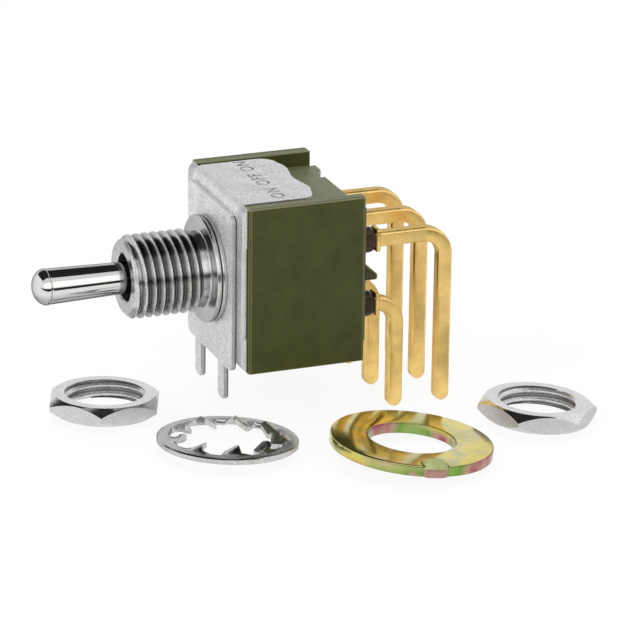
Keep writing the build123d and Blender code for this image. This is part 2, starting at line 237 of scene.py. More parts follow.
# A darker copy of the bore's metal as painted shade in the nut's thread valleys.
shaded_nut_valley = metal("shaded_nut_valley", (0.46, 0.46, 0.455), (0.22, 0.36), grain=(1, 1, 6), scale=4.0, relief=0.004,
                   mottle=0.45, metallic=0.9, speckle=0.12)
nut_flat = metal("nut_flat", (0.72, 0.72, 0.715), (0.36, 0.50), relief=0.006, mottle=0.2, metallic=0.9,
                 speckle=0.2, rim=0.8)
washer_steel = metal("washer_steel", (0.70, 0.70, 0.69), (0.12, 0.24), scale=5.0, relief=0.006, mottle=0.34,
                     speckle=0.2, rim=0.6)
gold = metal("gold", (0.96, 0.67, 0.235), (0.25, 0.38), grain=(1, 1, 0.3), scale=3.0, mottle=0.20, rim=0.5)
rose_film = metal("rose_film", (0.50, 0.30, 0.24), (0.30, 0.45), scale=3.0, mottle=0.35, metallic=0.8)
green_film = metal("green_film", (0.42, 0.47, 0.20), (0.55, 0.70), scale=3.0, mottle=0.30, metallic=0.4)
# A near-black as painted shade in the crease round the ring's tab.
painted_crease_shade = metal("painted_crease_shade", (0.10, 0.05, 0.03), (0.2, 0.3))
silver = metal("silver", (0.85, 0.83, 0.78), (0.18, 0.30), grain=(0.3, 3, 3), scale=5.0, mottle=0.12)
spring_wire = metal("spring_wire", (0.70, 0.69, 0.67), (0.15, 0.25), scale=8.0, relief=0.001, mottle=0.10)
olive = moulding("olive", (0.038, 0.044, 0.004), (0.059, 0.065, 0.011), (0.36, 0.50), 0.006)
# A paler olive as a painted highlight on the case's rounded edges.
olive_edge_highlight = moulding("olive_edge_highlight", (0.10, 0.10, 0.04), (0.26, 0.25, 0.12), (0.30, 0.45))
dark_plastic = moulding("dark_plastic", (0.020, 0.020, 0.019), (0.032, 0.031, 0.029), (0.35, 0.5))
seal_resin = moulding("seal_resin", (0.016, 0.009, 0.004), (0.050, 0.028, 0.012), (0.10, 0.22), 0.02)
# A near-black as painted shade inside the bushing's bore.
shaded_bore = moulding("shaded_bore", (0.030, 0.030, 0.030), (0.09, 0.09, 0.09), (0.4, 0.55))


# Painted shade, sheen and highlights, and the ring's film colours

def base_colour(material):
    """A material's tree, its base colour's socket and the colour that feeds it."""
    tree = material.node_tree
    socket = tree.nodes["Principled BSDF"].inputs["Base Color"]
    return tree, socket, socket.links[0].from_socket


def height(tree):
    return coordinate(tree, "Z")


def along_axis(tree):
    return coordinate(tree, "Y")


def sideways(tree):
    """The distance from the middle of the switch, to either side."""
    return maths(tree, "ABSOLUTE", coordinate(tree, "X"))


def from_axis(tree):
    """The distance from the bushing's axis; only the threaded length counts, the rest is taken as far out."""
    thread_middle = -3.1
    half_thread = 2.4
    flat = add(tree, "VectorMath", {0: millimetres(tree), 1: (1, 0, 1)}, operation="MULTIPLY")
    away = add(tree, "VectorMath", {0: flat.outputs["Vector"]}, operation="LENGTH").outputs["Value"]
    apart = maths(tree, "ABSOLUTE", maths(tree, "SUBTRACT", along_axis(tree), thread_middle))
    return maths(tree, "ADD", away, maths(tree, "GREATER_THAN", apart, half_thread))


def paint_shade(material, measure, start, end, shade):
    """Paints shade into a metal's colour as a measure of the place goes from start to end."""
    tree, base, tint = base_colour(material)
    share = fade(tree, measure(tree), start, end, 1.0, shade)
    darker = add(tree, "VectorMath", {0: tint, "Scale": share}, operation="SCALE")
    tree.links.new(darker.outputs["Vector"], base)


def painted_top_sheen(material, colour):
    """Lifts the case's colour where it faces up, a painted sheen of the light from above.

    The sheen stops short of both edges of the side walls' tops, which leaves a dark line along each as
    painted shade.
    """
    tree, base, tint = base_colour(material)
    wall_inside, wall_outside = 5.2, 6.4
    upward = add(tree, "SeparateXYZ", {"Vector": add(tree, "NewGeometry").outputs["Normal"]}).outputs["Z"]
    facing = fade(tree, upward, 0.6, 1.0)
    across_wall = fade(tree, sideways(tree), wall_inside, wall_outside)
    # The painted sheen's share across a wall's top; its zero stops leave the painted shade lines.
    film = ramp(tree, across_wall, [
        (0.0, 1.0), (0.04, 0.0), (0.16, 0.0), (0.24, 0.85), (0.60, 0.75), (0.68, 0.0), (0.86, 0.1)])
    tree.links.new(blend_colour(tree, maths(tree, "MULTIPLY", facing, film), tint, colour), base)


def painted_edge_highlight(material, radius, colour):
    """Paints a highlight along a material's edges, where their round would catch the light."""
    strength = 0.9
    flat, turned = 0.99, 0.85
    tree, base, tint = base_colour(material)
    rounded_normal = add(tree, "Bevel", {"Radius": radius * MM}, samples=6).outputs["Normal"]
    inputs = {0: rounded_normal, 1: add(tree, "NewGeometry").outputs["Normal"]}
    alike = add(tree, "VectorMath", inputs, operation="DOT_PRODUCT").outputs["Value"]
    share = fade(tree, alike, flat, turned, 0.0, strength)
    tree.links.new(blend_colour(tree, share, tint, colour), base)


# Painted shade on the lever inside the bushing's mouth.
paint_shade(mirror_nickel, along_axis, -6.8, -6.1, 0.35)
# Painted shade on the lever's underside, darker towards the bottom.
paint_shade(mirror_nickel, height, -0.15, -0.6, 0.62)
# Painted shade in the thread's valleys.
paint_shade(turned_nickel, from_axis, 3.08, 2.80, 0.30)
# Painted sheen on the case's upward faces, with painted shade lines along the walls' tops.
painted_top_sheen(olive, (0.117, 0.124, 0.068))
# Painted highlights along the case's edges.
painted_edge_highlight(olive, 0.16, (0.30, 0.28, 0.13))
# Painted shade on the frame's front border beside the bracket.
paint_shade(shaded_frame_tin, sideways, 4.78, 4.95, 0.78)
# Painted shade on the bracket's cut sides towards the frame behind it.
paint_shade(bracket_edge, along_axis, 1.04, 1.16, 0.12)
# Painted shade: a dark line at the rear of the frame's side strips, next to the case.
paint_shade(frame_edge, along_axis, 1.54, 1.62, 0.10)
# Painted highlights along the tin's edges.
painted_edge_highlight(satin_tin, 0.14, (0.97, 0.97, 0.97))
painted_edge_highlight(shaded_frame_tin, 0.14, (0.97, 0.97, 0.97))


def passivate(centre, bore_radius, rim_radius):
    """Zinc under an iridescent film: tan and yellow on the faces, green and pink on the walls."""
    cloud_scale, wall_scale, fine_scale = 0.32, 0.28, 5.0
    material, tree, shader = new_material("passivate", Metallic=1.0)
    place = millimetres(tree)
    local = add(tree, "VectorMath", {0: place, 1: centre}, operation="SUBTRACT").outputs["Vector"]
    clouds = add(tree, "TexNoise", {"Vector": local, "Scale": cloud_scale, "Detail": 5.0, "Distortion": 0.6})
    tint = ramp(tree, spread(tree, clouds.outputs["Fac"], 0.0, 1.0), [
        (0.10, (0.54, 0.48, 0.16)), (0.35, (0.70, 0.58, 0.11)), (0.55, (0.55, 0.49, 0.23)),
        (0.75, (0.44, 0.46, 0.16)), (0.95, (0.56, 0.46, 0.23))])
    flat = add(tree, "VectorMath", {0: local, 1: (1, 1, 0)}, operation="MULTIPLY").outputs["Vector"]
    reach = add(tree, "VectorMath", {0: flat}, operation="LENGTH").outputs["Value"]
    wall = ramp(tree, noise(tree, local, wall_scale), [
        (0.38, (0.36, 0.11, 0.13)), (0.47, (0.46, 0.30, 0.22)), (0.55, (0.16, 0.32, 0.06)),
        (0.66, (0.30, 0.40, 0.12))])
    outset, inset = 0.02, 0.06
    for start, end in (
            (rim_radius - inset, rim_radius - outset), (bore_radius + inset, bore_radius + outset)):
        tint = blend_colour(tree, fade(tree, reach, start, end), tint, wall)
    tree.links.new(tint, shader.inputs["Base Color"])
    fine = noise(tree, place, fine_scale, 4.0)
    tree.links.new(spread(tree, fine, 0.10, 0.18), shader.inputs["Roughness"])
    bump(tree, shader, fine, 0.002)
    return material


# Mesh helpers. Everything is drawn in millimetres in the frame's axes and scaled at the end.

def rounded(corners, steps=5, closed=False):
    """A polyline of (x, y, radius) corners with each corner turned into an arc."""
    path = []
    count = len(corners)
    for index, (x, y, radius) in enumerate(corners):
        here = Vector((x, y))
        if radius == 0 or (not closed and index in (0, count - 1)):
            path.append(here)
            continue
        back = (Vector(corners[index - 1][:2]) - here).normalized()
        ahead = (Vector(corners[(index + 1) % count][:2]) - here).normalized()
        half = back.angle(ahead) / 2
        centre = here + (back + ahead).normalized() * (radius / math.sin(half))
        start = here + back * (radius / math.tan(half)) - centre
        end = here + ahead * (radius / math.tan(half)) - centre
        turn = math.pi - 2 * half
        for step in range(steps + 1):
            share = step / steps
            arm = (start * math.sin((1 - share) * turn) + end * math.sin(share * turn)) / math.sin(turn)
            path.append(centre + arm)
    return path


def circle(segments):
    """The angles of a circle's points."""
    return [2 * math.pi * index / segments for index in range(segments)]


def skin(bm, rings, closed_rings=True, closed_path=False):
    """Faces between rings of vertices; a ring of one vertex is a pole."""
    pairs = list(zip(rings, rings[1:]))
    if closed_path:
        pairs.append((rings[-1], rings[0]))
    for first, second in pairs:
        count = max(len(first), len(second))
        for index in range(count if closed_rings else count - 1):
            after = (index + 1) % count
            quad = []
            for vertex in (first[index % len(first)], first[after % len(first)],
                           second[after % len(second)], second[index % len(second)]):
                if vertex not in quad:
                    quad.append(vertex)
            if len(quad) > 2:
                bm.faces.new(quad)


def capped(bm, rings):
    """A skin with a face over its first and its last ring."""
    skin(bm, rings)
    bm.faces.new(rings[0])
    bm.faces.new(rings[-1])


def lathe(bm, profile, segments, closed=False):
    """A body turned about the Y axis from (radius, y) points."""
    rings = []
    for radius, y in profile:
        if radius < 1e-6:
            rings.append([bm.verts.new((0, y, 0))])
            continue
        rings.append([bm.verts.new((radius * math.cos(angle), y, radius * math.sin(angle)))
                      for angle in circle(segments)])
    skin(bm, rings, closed_path=closed)


def finish_piece(bm, name, body, materials, hides, sharp=32.0, place=None):
    """Turns the mesh into a piece of the model that rides on its body and stands in for a CAD node."""
    merge_distance = 1e-4
    bmesh.ops.remove_doubles(bm, verts=bm.verts, dist=merge_distance)
    bmesh.ops.recalc_face_normals(bm, faces=bm.faces)
    if place is not None:
        bm.transform(place)
    bm.transform(Matrix.Scale(MM, 4))
    mesh = bpy.data.meshes.new(name)
    bm.to_mesh(mesh)
    bm.free()
    mesh.shade_smooth()
    mesh.set_sharp_from_angle(angle=math.radians(sharp))
    piece = bpy.data.objects.new(name, mesh)
    scene.collection.objects.link(piece)
    for material in materials if isinstance(materials, tuple) else (materials,):
        mesh.materials.append(material)
    even = piece.modifiers.new("even_normals", "WEIGHTED_NORMAL")
    even.keep_sharp = True
    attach(piece, body)
    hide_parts(hides)
    return piece


def solid_copy(node_name):
    """A CAD node's mesh as clean polygons in millimetres."""
    merge_distance = 2e-3
    bm = bmesh.new()
    bm.from_mesh(frame["nodes"][node_name].data)
    bm.transform(Matrix.Scale(1 / MM, 4))
    bmesh.ops.remove_doubles(bm, verts=bm.verts, dist=merge_distance)
    bmesh.ops.dissolve_limit(bm, angle_limit=math.radians(1.0), verts=bm.verts, edges=bm.edges)
    return bm


def soften(bm, width, edge_material=0):
    """Breaks every sharp edge of a mesh with a small round."""
    sharp_from = math.radians(28.0)
    edges = [edge for edge in bm.edges if len(edge.link_faces) == 2 and edge.calc_face_angle(0) > sharp_from]
    bmesh.ops.bevel(bm, geom=edges, offset=width, segments=2, profile=0.5, affect="EDGES", clamp_overlap=True,
                    material=edge_material)
    bm.normal_update()


def frame_at(origin, x_axis, z_axis):
    """A matrix that puts a section's X and Z axes along two directions."""
    x_axis = Vector(x_axis).normalized()
    z_axis = Vector(z_axis).normalized()
    y_axis = z_axis.cross(x_axis)
    turn = Matrix((x_axis, y_axis, z_axis)).transposed().to_4x4()
    return Matrix.Translation(origin) @ turn


# Lever: a turned stem with a ball end, on the ball that it pivots about

def lever():
    tip_end, arm_end = (corner.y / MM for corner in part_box("toggle_lever"))
    tip_radius = 1.39
    dome = 1.04
    crease_radius = 1.28
    shoulder_radius = 1.355
    mouth_radius = 1.20
    neck_radius = 1.18
    ball_radius = 2.1
    arm_radius = 0.9
    neck_end, arm_start = pivot_y - 1.9, pivot_y + 2.3
    dome_end = tip_end + dome
    profile = [Vector((0.0, tip_end))]
    for step in range(1, 15):
        angle = math.radians(90 * step / 15)
        profile.append(Vector((tip_radius * math.sin(angle), tip_end + dome * (1 - math.cos(angle)))))
    profile += rounded([
        (tip_radius, dome_end, 0), (tip_radius - 0.02, dome_end + 0.04, 0.02),
        (crease_radius, dome_end + 0.12, 0.02), (shoulder_radius, dome_end + 0.2, 0.03),
        (mouth_radius, bushing_front, 0.5), (neck_radius, neck_end, 0)])
    start = math.asin(neck_radius / ball_radius)
    sweep = math.pi - start - math.asin(arm_radius / ball_radius)
    for step in range(17):
        angle = start + sweep * step / 16
        profile.append(Vector((ball_radius * math.sin(angle), pivot_y - ball_radius * math.cos(angle))))
    profile += rounded([(arm_radius, arm_start, 0), (arm_radius, arm_end, 0.15), (0.0, arm_end, 0)])
    bm = bmesh.new()
    lathe(bm, profile, 72)
    finish_piece(bm, "turned_lever", "lever", mirror_nickel, "toggle_lever")


# Bushing: the thread is a true helix that starts at the chamfered mouth and runs out into a neck

def thread_rows(depth, crest):
    """One turn of the thread's section, as (offset along the axis, drop below the crest) points."""
    half_pitch = thread_pitch / 2
    half_crest = crest / 2
    flank = [(0.0, 0.0), (half_crest, 0.0)]
    for share in (0.12, 0.25, 0.5, 0.75, 0.88):
        flank.append((half_crest + (half_pitch - half_crest - 0.04) * share, share * depth))
    flank += [(half_pitch - 0.03, 0.97 * depth), (half_pitch, depth)]
    return flank + [(thread_pitch - offset, drop) for offset, drop in reversed(flank[1:-1])]


def bushing():
    depth = 0.40
    crest = 0.07
    neck_radius = 2.86
    mouth_radius = thread_radius - 0.42
    lead_in = 0.18
    run_out_slope = 1.1
    segments = 120
    collar_radius = 4.075
    groove_radius = 3.6
    collar_front, groove_front, groove_rear, collar_rear = 0.0, 0.35, 0.45, 0.8
    spigot_radius = 3.1
    flange_radius = 3.5
    flange_rear = case_front + 0.4
    rear_bore = 2.65
    socket = 2.15
    socket_front = pivot_y + socket - socket * math.sqrt(2)
    throat_radius = 1.8
    throat_rear = pivot_y + throat_radius - socket * math.sqrt(2)

    def envelope(y):
        """The largest radius that the mouth's chamfer and the run-out leave to the thread."""
        chamfered = mouth_radius + (y - bushing_front)
        run_out = neck_radius + (neck_start - y) * run_out_slope
        return min(thread_radius, chamfered, run_out)

    bm = bmesh.new()
    rows = []
    turn = bushing_front - thread_pitch + lead_in
    while turn < neck_start + 2 * thread_pitch:
        rows += [(turn + offset, thread_radius - drop) for offset, drop in thread_rows(depth, crest)]
        turn += thread_pitch
    grid = []
    for start, radius in rows:
        ring = []
        for index in range(segments + 1):
            share = index / segments
            y = min(max(start - thread_pitch * share, bushing_front), neck_start)
            r = min(radius, envelope(y))
            if y == bushing_front:
                r = mouth_radius
            elif y == neck_start:
                r = neck_radius
            angle = 2 * math.pi * share
            ring.append(bm.verts.new((r * math.cos(angle), y, r * math.sin(angle))))
        grid.append(ring)
    skin(bm, grid, closed_rings=False)
    body = rounded([
        (neck_radius, neck_start, 0), (neck_radius, collar_front, 0.16), (collar_radius, collar_front, 0.07),
        (collar_radius, groove_front, 0.05), (groove_radius, groove_front, 0.03),
        (groove_radius, groove_rear, 0.03), (collar_radius, groove_rear, 0.05),
        (collar_radius, collar_rear, 0.10), (spigot_radius, collar_rear, 0), (spigot_radius, case_front, 0),
        (flange_radius, case_front, 0.05), (flange_radius, flange_rear, 0.12), (rear_bore, flange_rear, 0.05),
        (socket, pivot_y, 0), (socket, socket_front, 0), (throat_radius, throat_rear, 0),
        (throat_radius, bushing_front + 0.15, 0.05), (throat_radius + 0.15, bushing_front, 0.04),
        (mouth_radius, bushing_front, 0)])
    lathe(bm, body, segments)
    bmesh.ops.remove_doubles(bm, verts=bm.verts, dist=1e-4)
    bmesh.ops.dissolve_degenerate(bm, edges=bm.edges, dist=1e-5)
    # Faces inside the bore take the near-black, painted shade.
    plain, bored, worn = 0, 1, 2
    worn_from = 3.09
    bored_within = 2.6
    for face in bm.faces:
        middle = face.calc_center_median()
        away = math.hypot(middle.x, middle.z)
        if away < bored_within and middle.y > bushing_front + 0.2:
            face.material_index = bored
        elif away > worn_from and middle.y < neck_start or middle.y < bushing_front + 0.3:
            face.material_index = worn
        else:
            face.material_index = plain
    finish_piece(bm, "threaded_bushing", "housing", (turned_nickel, shaded_bore, worn_nickel),
                 "bushing", sharp=38.0)


# Terminals: one strip with rounded edges, bent down to the board, with a round tip and a shoulder

def strip_section(width, tall, corner, steps=4):
    half_width = width / 2
    half_height = tall / 2
    return rounded([
        (half_width, half_height, corner), (-half_width, half_height, corner),
        (-half_width, -half_height, corner), (half_width, -half_height, corner)], steps, closed=True)


def terminal(column, row):
    x = columns[column]
    z = row_levels[row]
    setback = leg_setbacks[row]
    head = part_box(f"terminal_{row}_{column}")[0].y / MM
    width, thickness, corner = 1.0, 1.15, 0.22
    shoulder_width, shoulder_height, shoulder_corner = 1.25, 1.8, 0.18
    head_bevel = 0.08
    bend = 1.75
    tip = 0.54
    tip_thinning = 0.07
    # Each station is (y, level, turn in degrees, cut off each side, cut off the top and bottom)
    stations = [(head, z, 0, head_bevel, head_bevel), (head + 0.05, z, 0, 0, 0), (setback - bend, z, 0, 0, 0)]
    for step in range(1, 13):
        angle = math.radians(90 * step / 12)
        stations.append((setback - bend + bend * math.sin(angle), z - bend + bend * math.cos(angle),
                         math.degrees(angle), 0, 0))
    for step in range(10):
        angle = math.radians(10 * step)
        level = floor_level + tip * (1 - math.sin(angle))
        taper = 1 - math.cos(angle)
        stations.append((setback, level, 90, tip_thinning * taper, tip * taper))
    bm = bmesh.new()
    rings = []
    for y, level, turn, side_cut, face_cut in stations:
        angle = math.radians(turn)
        place = frame_at((x, y, level), (1, 0, 0), (0, math.cos(angle), -math.sin(angle)))
        left = thickness - 2 * face_cut
        section = strip_section(width - 2 * side_cut, left, min(corner, 0.45 * left))
        rings.append([bm.verts.new(place @ Vector((point.x, point.y, 0))) for point in section])
    capped(bm, rings)
    shoulder = []
    for offset, grow in ((0.0, -0.05), (0.06, 0), (0.29, 0), (0.35, -0.06)):
        section = strip_section(shoulder_width + 2 * grow, shoulder_height + 2 * grow, shoulder_corner)
        shoulder.append([bm.verts.new((x + point.x, seal_rear + offset, z + point.y)) for point in section])
    capped(bm, shoulder)
    finish_piece(bm, f"pin_{row}_{column}", "housing", gold, f"terminal_{row}_{column}")


def seal(column, row):
    """A domed bead of resin round the terminal's root, with a slightly wavy surface."""
    x = columns[column]
    z = row_levels[row]
    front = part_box(f"terminal_seal_{row}_{column}")[0].y / MM
    width, tall, corner = 1.2, 2.0, 0.56
    dome_depth = 0.5
    wave_height = 0.02
    bm = bmesh.new()
    rings = []
    for step in range(9):
        angle = math.radians(90 * max(step - 1, 0) / 7)
        y = front if step == 0 else seal_rear - dome_depth * (1 - math.sin(angle))
        dome = 1 - math.cos(angle)
        section = strip_section(width - 0.2 * dome, tall - 0.9 * dome, corner - 0.2 * dome, 8)
        rings.append([bm.verts.new((x + point.x, y, z + point.y)) for point in section])
    capped(bm, rings)
    for vertex in bm.verts:
        if vertex.co.y > front + 0.05:
            wave = math.sin(7 * vertex.co.x + 5 * vertex.co.z) * math.cos(6 * vertex.co.y)
            vertex.co.z += wave_height * wave
    finish_piece(bm, f"seal_bead_{row}_{column}", "housing", seal_resin,
                 f"terminal_seal_{row}_{column}", sharp=50.0)


# Sheet metal and mouldings: the CAD solids with their edges broken

def bracket():
    """The bracket, darker on its cut sides, with painted shade on them towards the frame behind it."""
    bm = solid_copy("pin_bracket")
    soften(bm, 0.05)
    plate, cut_side = 0, 1
    for face in bm.faces:
        on_side = abs(face.normal.y) < 0.5 and abs(face.normal.x) > 0.3
        face.material_index = cut_side if on_side else plate
    finish_piece(bm, "board_bracket", "housing", (satin_tin, bracket_edge), "pin_bracket")


def stamps(top):
    """The switch positions as solid letters that reach a little way into the tongue."""
    letter_height = 1.45
    letter_depth = 0.07
    letter_weight = 0.025
    tongue_middle = 5.3
    solid = bmesh.new()
    texts = []
    for word, centre in (("ON", 3.1), ("OFF", -0.2), ("ON", -3.5)):
        curve = bpy.data.curves.new("stamp", "FONT")
        curve.body = word
        curve.size = letter_height * MM
        curve.extrude = letter_depth * MM
        curve.space_character = 1.15
        curve.offset = letter_weight * MM
        curve.align_x = "CENTER"
        text = bpy.data.objects.new("stamp", curve)
        text.matrix_world = (Matrix.Translation((centre * MM, tongue_middle * MM, top))
                             @ Matrix.Rotation(math.pi, 4, "Z"))
        scene.collection.objects.link(text)
        texts.append(text)
    bpy.context.view_layer.update()
    depsgraph = bpy.context.evaluated_depsgraph_get()
    for text in texts:
        mesh = bpy.data.meshes.new_from_object(text.evaluated_get(depsgraph))
        mesh.transform(text.matrix_world)
        solid.from_mesh(mesh)
        bpy.data.objects.remove(text)
    bmesh.ops.remove_doubles(solid, verts=solid.verts, dist=1e-7)
    # The letters' cut faces take the tongue's darker tin, painted shade in the impressions.
    for face in solid.faces:
        face.material_index = 1
    mesh = bpy.data.meshes.new("stamp_cut")
    solid.to_mesh(mesh)
    solid.free()
    cutter = bpy.data.objects.new("stamp_cut", mesh)
    scene.collection.objects.link(cutter)
    return cutter


def stamped_frame():
    """The frame with the switch positions stamped into its tongue."""
    bm = solid_copy("stirrup_frame")
    soften(bm, 0.04)
    tongue_start = case_front + 0.3
    stamped, side_strip = 1, 2
    for face in bm.faces:
        if face.calc_center_median().y > tongue_start:
            # The tongue's edge walls take a darker tin as painted shade.
            if abs(face.normal.z) < 0.5:
                face.material_index = stamped
        # The side strips take a metal with a painted shade line at its rear.
        elif abs(face.normal.x) > 0.9:
            face.material_index = side_strip
    piece = finish_piece(bm, "stamped_frame", "housing", (shaded_frame_tin, shaded_tongue_tin, frame_edge),
                         "stirrup_frame")
    cutter = stamps(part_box("stirrup_frame")[1].z)
    cut = piece.modifiers.new("stamp", "BOOLEAN")
    cut.object = cutter
    cut.operation = "DIFFERENCE"
    cut.solver = "EXACT"
    piece.modifiers.move(1, 0)
    bpy.context.view_layer.update()
    depsgraph = bpy.context.evaluated_depsgraph_get()
    cut_mesh = bpy.data.meshes.new_from_object(piece.evaluated_get(depsgraph))
    piece.modifiers.clear()
    piece.data = cut_mesh
    bpy.data.objects.remove(cutter)


def case():
    """The moulding, with a painted highlight along its rounded edges."""
    bm = solid_copy("switch_case")
    # The rounds take the paler olive as a painted highlight.
    soften(bm, 0.06, edge_material=1)
    finish_piece(bm, "moulded_case", "housing", (olive, olive_edge_highlight), "switch_case")


def inner_pieces():
    """The mechanism's CAD nodes stay as they are, with a material each."""
    for node_name, material in (
            ("actuator", dark_plastic), ("contact_plunger_upper", dark_plastic),
            ("contact_plunger_lower", dark_plastic), ("contact_rocker_upper", silver),
            ("contact_rocker_lower", silver)):
        materials = frame["nodes"][node_name].data.materials
        materials.clear()
        materials.append(material)


def coil(row):
    """A plunger's spring, copied as it stands from the CAD mesh; the real spring shortens as the plunger
    slides in.
    """
    node_name = f"plunger_spring_{row}"
    mesh = frame["nodes"][node_name].data.copy()
    mesh.materials.clear()
    mesh.materials.append(spring_wire)
    piece = bpy.data.objects.new(f"coil_{row}", mesh)
    scene.collection.objects.link(piece)
    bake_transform(piece)
    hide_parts(node_name)


# Loose hardware, laid on the floor

def laid(x, y, turn, about_x, about_y, reach):
    """Lays a flat piece on the floor with a small lean; its lowest point is on a circle of this reach."""
    lean = Matrix.Rotation(math.radians(about_y), 4, "Y") @ Matrix.Rotation(math.radians(about_x), 4, "X")
    tilt = lean.to_3x3() @ Vector((0, 0, 1))
    lift = reach * math.hypot(tilt.x, tilt.y)
    return Matrix.Translation((x, y, floor_level + lift)) @ lean @ Matrix.Rotation(math.radians(turn), 4, "Z")


def hex_nut(name, node_name, place):
    """A thin hexagon nut, chamfered on both faces, with an internal thread."""
    flats = 8.0
    thickness = 1.45
    face_radius = 3.9
    face_round = 0.04
    corner_drop = 0.58
    major, minor = 3.2, 2.86
    mouth_radius = 3.05
    mouth_depth = 0.12
    valley_from = 3.06
    segments = 144
    corner_radius = flats / math.sqrt(3)
    bm = bmesh.new()

    def chamfer(radius):
        """How far the chamfer lies below the face at this distance from the axis."""
        return corner_drop * (radius - face_radius) / (corner_radius - face_radius)

    def upright(angle):
        """The outside from one face to the other, as (radius, level) points at an angle."""
        out = flats / 2 / math.cos(angle % (math.pi / 3) - math.pi / 6)
        halfway = face_radius + (out - face_radius) / 2
        edge = chamfer(out)
        wall = [(out, edge + (thickness - 2 * edge) * step / 5) for step in range(6)]
        return [(face_radius - face_round, 0.0), (halfway, chamfer(halfway)), *wall,
                (halfway, thickness - chamfer(halfway)), (face_radius - face_round, thickness)]

    outside = [[bm.verts.new((radius * math.cos(angle), radius * math.sin(angle), level))
                for angle, (radius, level) in zip(circle(segments), ring)]
               for ring in zip(*(upright(angle) for angle in circle(segments)))]
    # One turn of the thread, as (offset along the axis, share of the depth) points
    section = ((0.0, 0.0), (0.05, 0.0), (0.2, 0.5), (0.30, 0.93), (0.34, 1.0), (0.38, 0.93), (0.48, 0.5),
               (0.63, 0.0))
    thread = []
    for turn in range(-1, 4):
        for offset, depth in section:
            start = turn * thread_pitch + offset
            ring = []
            for index in range(segments + 1):
                share = index / segments
                level = min(max(start - thread_pitch * share + thread_pitch, 0), thickness)
                from_face = min(level, thickness - level)
                countersink = mouth_radius - from_face * (mouth_radius - minor) / mouth_depth
                r = mouth_radius if from_face == 0 else max(minor + (major - minor) * depth, countersink)
                angle = 2 * math.pi * share
                ring.append(bm.verts.new((r * math.cos(angle), r * math.sin(angle), level)))
            thread.append(ring)
    plate, bore, flat, valley = 0, 1, 2, 3
    skin(bm, thread, closed_rings=False)
    for face in bm.faces:
        # Thread valleys take the darker metal as painted shade.
        face.material_index = valley if face.calc_center_median().xy.length > valley_from else bore
    outside_from = len(bm.faces)
    skin(bm, outside)
    bm.normal_update()
    for face in list(bm.faces)[outside_from:]:
        face.material_index = flat if abs(face.normal.z) < 0.1 else plate
    for level, ring in ((0, outside[0]), (thickness, outside[-1])):
        inner = [bm.verts.new((mouth_radius * math.cos(angle), mouth_radius * math.sin(angle), level))
                 for angle in circle(segments)]
        skin(bm, [ring, inner])
    finish_piece(bm, name, "housing", (nut_plate, nut_bore, nut_flat, shaded_nut_valley), node_name,
                 sharp=24.0, place=laid(*place, face_radius))


def lock_washer():
    """A spring washer: a slightly dished rim with teeth that twist out of it on rounded roots."""
    outer = 5.275
    rim = 4.33
    tip = 3.25
    teeth = 9
    half_tooth = math.radians(9.2)
    half_root, half_tip = half_tooth * 1.02, half_tooth * 0.95
    half_gap = math.radians(180 / teeth)
    root_round, tip_round = 0.26, 0.16
    rooted_radius = 4.62
    half_thickness = 0.225
    middle_level = 0.24
    dish = 0.05
    tooth_raise = 0.19
    tooth_twist = math.tan(math.radians(30))
    twist_from, twist_over = 4.5, 0.75

    def level(point):
        """The middle surface's height at a point of the first tooth's sector."""
        radius = point.length
        share = min(max((twist_from - radius) / twist_over, 0), 1)
        share = share * share * (3 - 2 * share)
        dished = dish * (1 - min(max((radius - rim) / (outer - rim), 0), 1))
        return middle_level + dished + share * (tooth_raise + point.y * tooth_twist)

    def polar(radius, angle):
        return radius * math.cos(angle), radius * math.sin(angle)

    edge = rounded([
        (*polar(rim, -half_gap), 0), (*polar(rim, -half_root), root_round),
        (*polar(tip, -half_tip), tip_round), (*polar(tip, half_tip), tip_round),
        (*polar(rim, half_root), root_round), (*polar(rim, half_gap), 0)])
    count = len(edge) - 1
    bm = bmesh.new()
    top, bottom = [], []
    for tooth in range(teeth):
        turn = Matrix.Rotation(2 * math.pi * tooth / teeth, 3, "Z")
        for index, point in enumerate(edge[:-1]):
            bearing = (2 * index / count - 1) * half_gap
            rooted = Vector(polar(rooted_radius, bearing))
            stations = [point + (rooted - point) * (step / 6) for step in range(7)]
            stations += [Vector(polar(radius, bearing)) for radius in (4.85, 5.1, 5.2, outer)]
            halves = [0.19] + [half_thickness] * (len(stations) - 3) + [0.215, 0.14]
            upper, lower = [], []
            for station, half in zip(stations, halves):
                middle = level(station)
                upper.append(bm.verts.new(turn @ Vector((station.x, station.y, middle + half))))
                lower.append(bm.verts.new(turn @ Vector((station.x, station.y, middle - half))))
            top.append(upper)
            bottom.append(lower)
    skin(bm, top + [top[0]], closed_rings=False)
    skin(bm, bottom + [bottom[0]], closed_rings=False)
    for end in (0, -1):
        for index in range(len(top)):
            after = (index + 1) % len(top)
            bm.faces.new((top[index][end], top[after][end], bottom[after][end], bottom[index][end]))
    finish_piece(bm, "toothed_washer", "housing", washer_steel, "lock_washer", sharp=40.0,
                 place=laid(8.96, -0.96, -16.5, -3.45, -3.45, outer))


